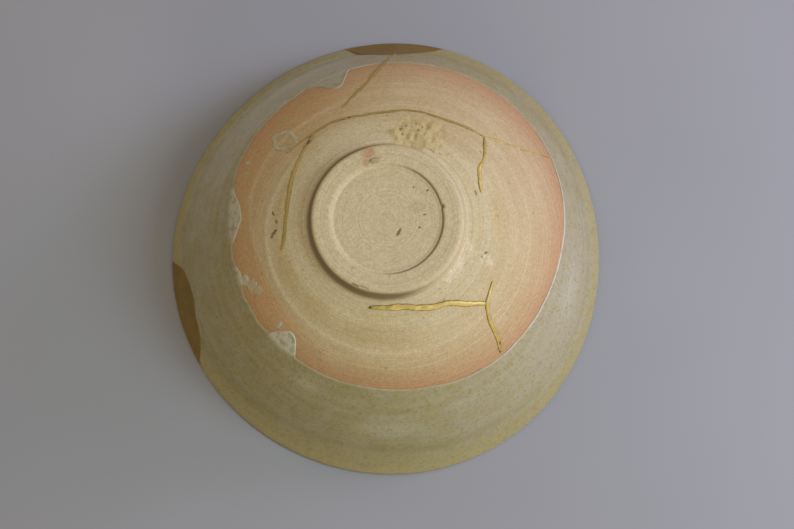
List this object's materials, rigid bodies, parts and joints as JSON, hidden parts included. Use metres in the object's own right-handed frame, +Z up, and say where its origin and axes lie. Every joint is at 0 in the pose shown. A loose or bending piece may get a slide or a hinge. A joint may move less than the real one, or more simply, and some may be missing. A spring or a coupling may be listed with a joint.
{
  "type": "kintsugi bowl",
  "caption": "Small stoneware tea bowl mended with gold lacquer, lying mouth down on its rim with the foot ring on top.",
  "frame": {"origin": "on the axis of the foot, at the level of the rim that the bowl lies on", "axes": "+Z up, from the rim to the foot; +Y towards the filled chip from which the straight crack starts"},
  "size_m": [0.1477, 0.1523, 0.056],
  "materials": {
    "stoneware": "satin",
    "fill_gold": "matte",
    "seam_gold": "satin"
  },
  "bodies": {
    "root": {"bowl_body": "stoneware", "rim_fill_left": "fill_gold", "rim_fill_back": "fill_gold", "seam_arc": "seam_gold", "seam_rim": "seam_gold", "seam_lower": "seam_gold"}
  },
  "joints": []
}
